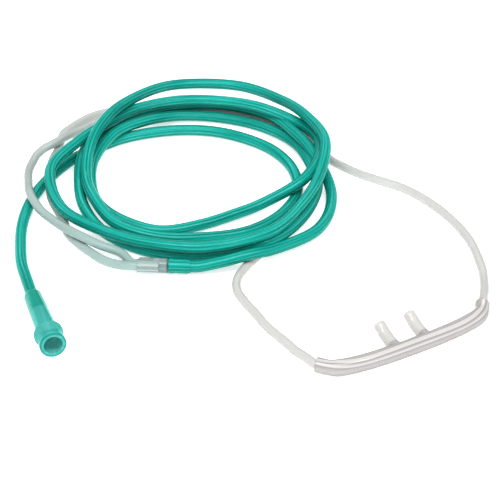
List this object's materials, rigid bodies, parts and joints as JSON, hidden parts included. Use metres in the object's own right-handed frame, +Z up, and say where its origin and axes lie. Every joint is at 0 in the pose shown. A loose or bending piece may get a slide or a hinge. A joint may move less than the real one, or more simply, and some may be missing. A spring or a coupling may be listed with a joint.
{
  "type": "nasal oxygen cannula",
  "caption": "Nasal oxygen cannula with a clear pronged facepiece, thin headset tubes, a junction, a coiled green supply tube and a flared connector.",
  "frame": {"origin": "on the table under the middle of the facepiece, the clear piece with the prongs", "axes": "+X along the facepiece towards its right tube, +Y the way its prongs point and towards the coil, +Z up from the table"},
  "size_m": [0.2405, 0.2792, 0.023],
  "materials": {
    "clear_facepiece": "glossy soft clear vinyl",
    "clear_tube": "glossy flexible clear vinyl tube",
    "clear_sleeve": "glossy clear vinyl sleeve over a harder ring",
    "green_tube": "glossy translucent green vinyl with lengthwise ribs in its bore",
    "green_connector": "soft translucent green vinyl, lighter where it is hollow"
  },
  "bodies": {
    "root": {"nasal_facepiece": "clear_facepiece", "headset_tube_left": "clear_tube", "headset_tube_right": "clear_tube", "headset_junction": "clear_sleeve", "supply_cuff": "green_tube", "supply_coil": "green_tube", "supply_tail": "green_tube", "supply_connector": "green_connector"}
  },
  "joints": []
}
